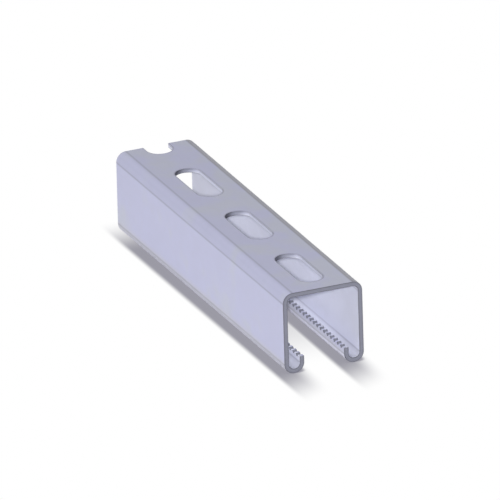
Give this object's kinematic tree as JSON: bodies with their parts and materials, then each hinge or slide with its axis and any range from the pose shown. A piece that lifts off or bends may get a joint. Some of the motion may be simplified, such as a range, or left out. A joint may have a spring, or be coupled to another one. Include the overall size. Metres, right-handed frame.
{
  "type": "strut channel",
  "caption": "Short length of slotted steel framing channel with a C section, in-turned serrated lips, and a web slot left open at one cut end.",
  "frame": {"origin": "midway along and across the channel, level with the underside of the lips it lies on", "axes": "+X along the channel towards its whole end (the open notch is at -X), +Y across the channel, +Z from the open mouth to the slotted web"},
  "size_m": [0.2, 0.0412, 0.0413],
  "materials": {
    "galvanised_steel": "satin galvanised"
  },
  "bodies": {
    "root": {"strut_channel": "galvanised_steel"}
  },
  "joints": []
}
